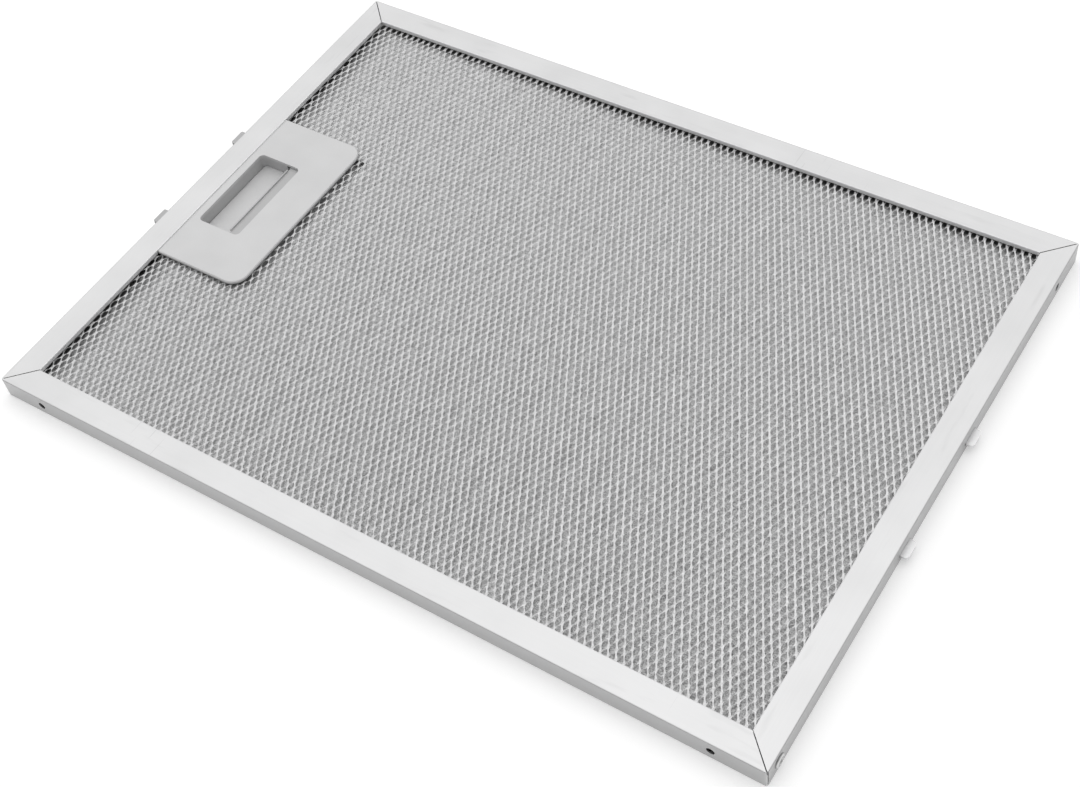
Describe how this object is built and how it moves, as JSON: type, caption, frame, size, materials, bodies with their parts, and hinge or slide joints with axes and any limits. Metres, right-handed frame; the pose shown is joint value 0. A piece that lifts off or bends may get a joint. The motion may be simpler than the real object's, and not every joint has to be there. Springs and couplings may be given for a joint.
{
  "type": "cooker hood grease filter",
  "caption": "Flat aluminium grease filter: folded frame round an expanded metal pack, with a sprung finger latch on one short side and fixed tabs on the other.",
  "frame": {"origin": "middle of the underside of the folded frame", "axes": "+X from the latch side to the tab side, +Y across the width, +Z out of the front face with the handle"},
  "size_m": [0.3264, 0.24, 0.009],
  "materials": {
    "frame_aluminium": "satin rolled aluminium sheet, faintly scuffed",
    "rivet_aluminium": "plain blind rivet",
    "mesh_aluminium": "bright expanded aluminium",
    "foil_aluminium": "bright crimped foil",
    "handle_plastic": "matte light grey moulding",
    "latch_plastic": "matte light grey moulding",
    "spring_steel": "plain spring wire",
    "tab_aluminium": "plain sheet"
  },
  "bodies": {
    "filter": {"frame": "frame_aluminium", "corner_rivet": "rivet_aluminium", "front_mesh": "mesh_aluminium", "rear_mesh": "mesh_aluminium", "foil_layer_1": "foil_aluminium", "foil_layer_2": "foil_aluminium", "foil_layer_3": "foil_aluminium", "handle_plate": "handle_plastic", "handle_back_plate": "handle_plastic", "latch_spring_1": "spring_steel", "latch_spring_2": "spring_steel", "locating_tab_1": "tab_aluminium", "locating_tab_2": "tab_aluminium"},
    "latch": {"latch_slider": "latch_plastic"}
  },
  "joints": [
    {"name": "latch_slide", "type": "slide", "parent": "filter", "child": "latch", "axis": [1, 0, 0], "range_m": [0, 0.0045], "stiffness_N_per_m": 600, "springref_m": -0.003, "deforming": ["latch_spring_1", "latch_spring_2"]}
  ]
}
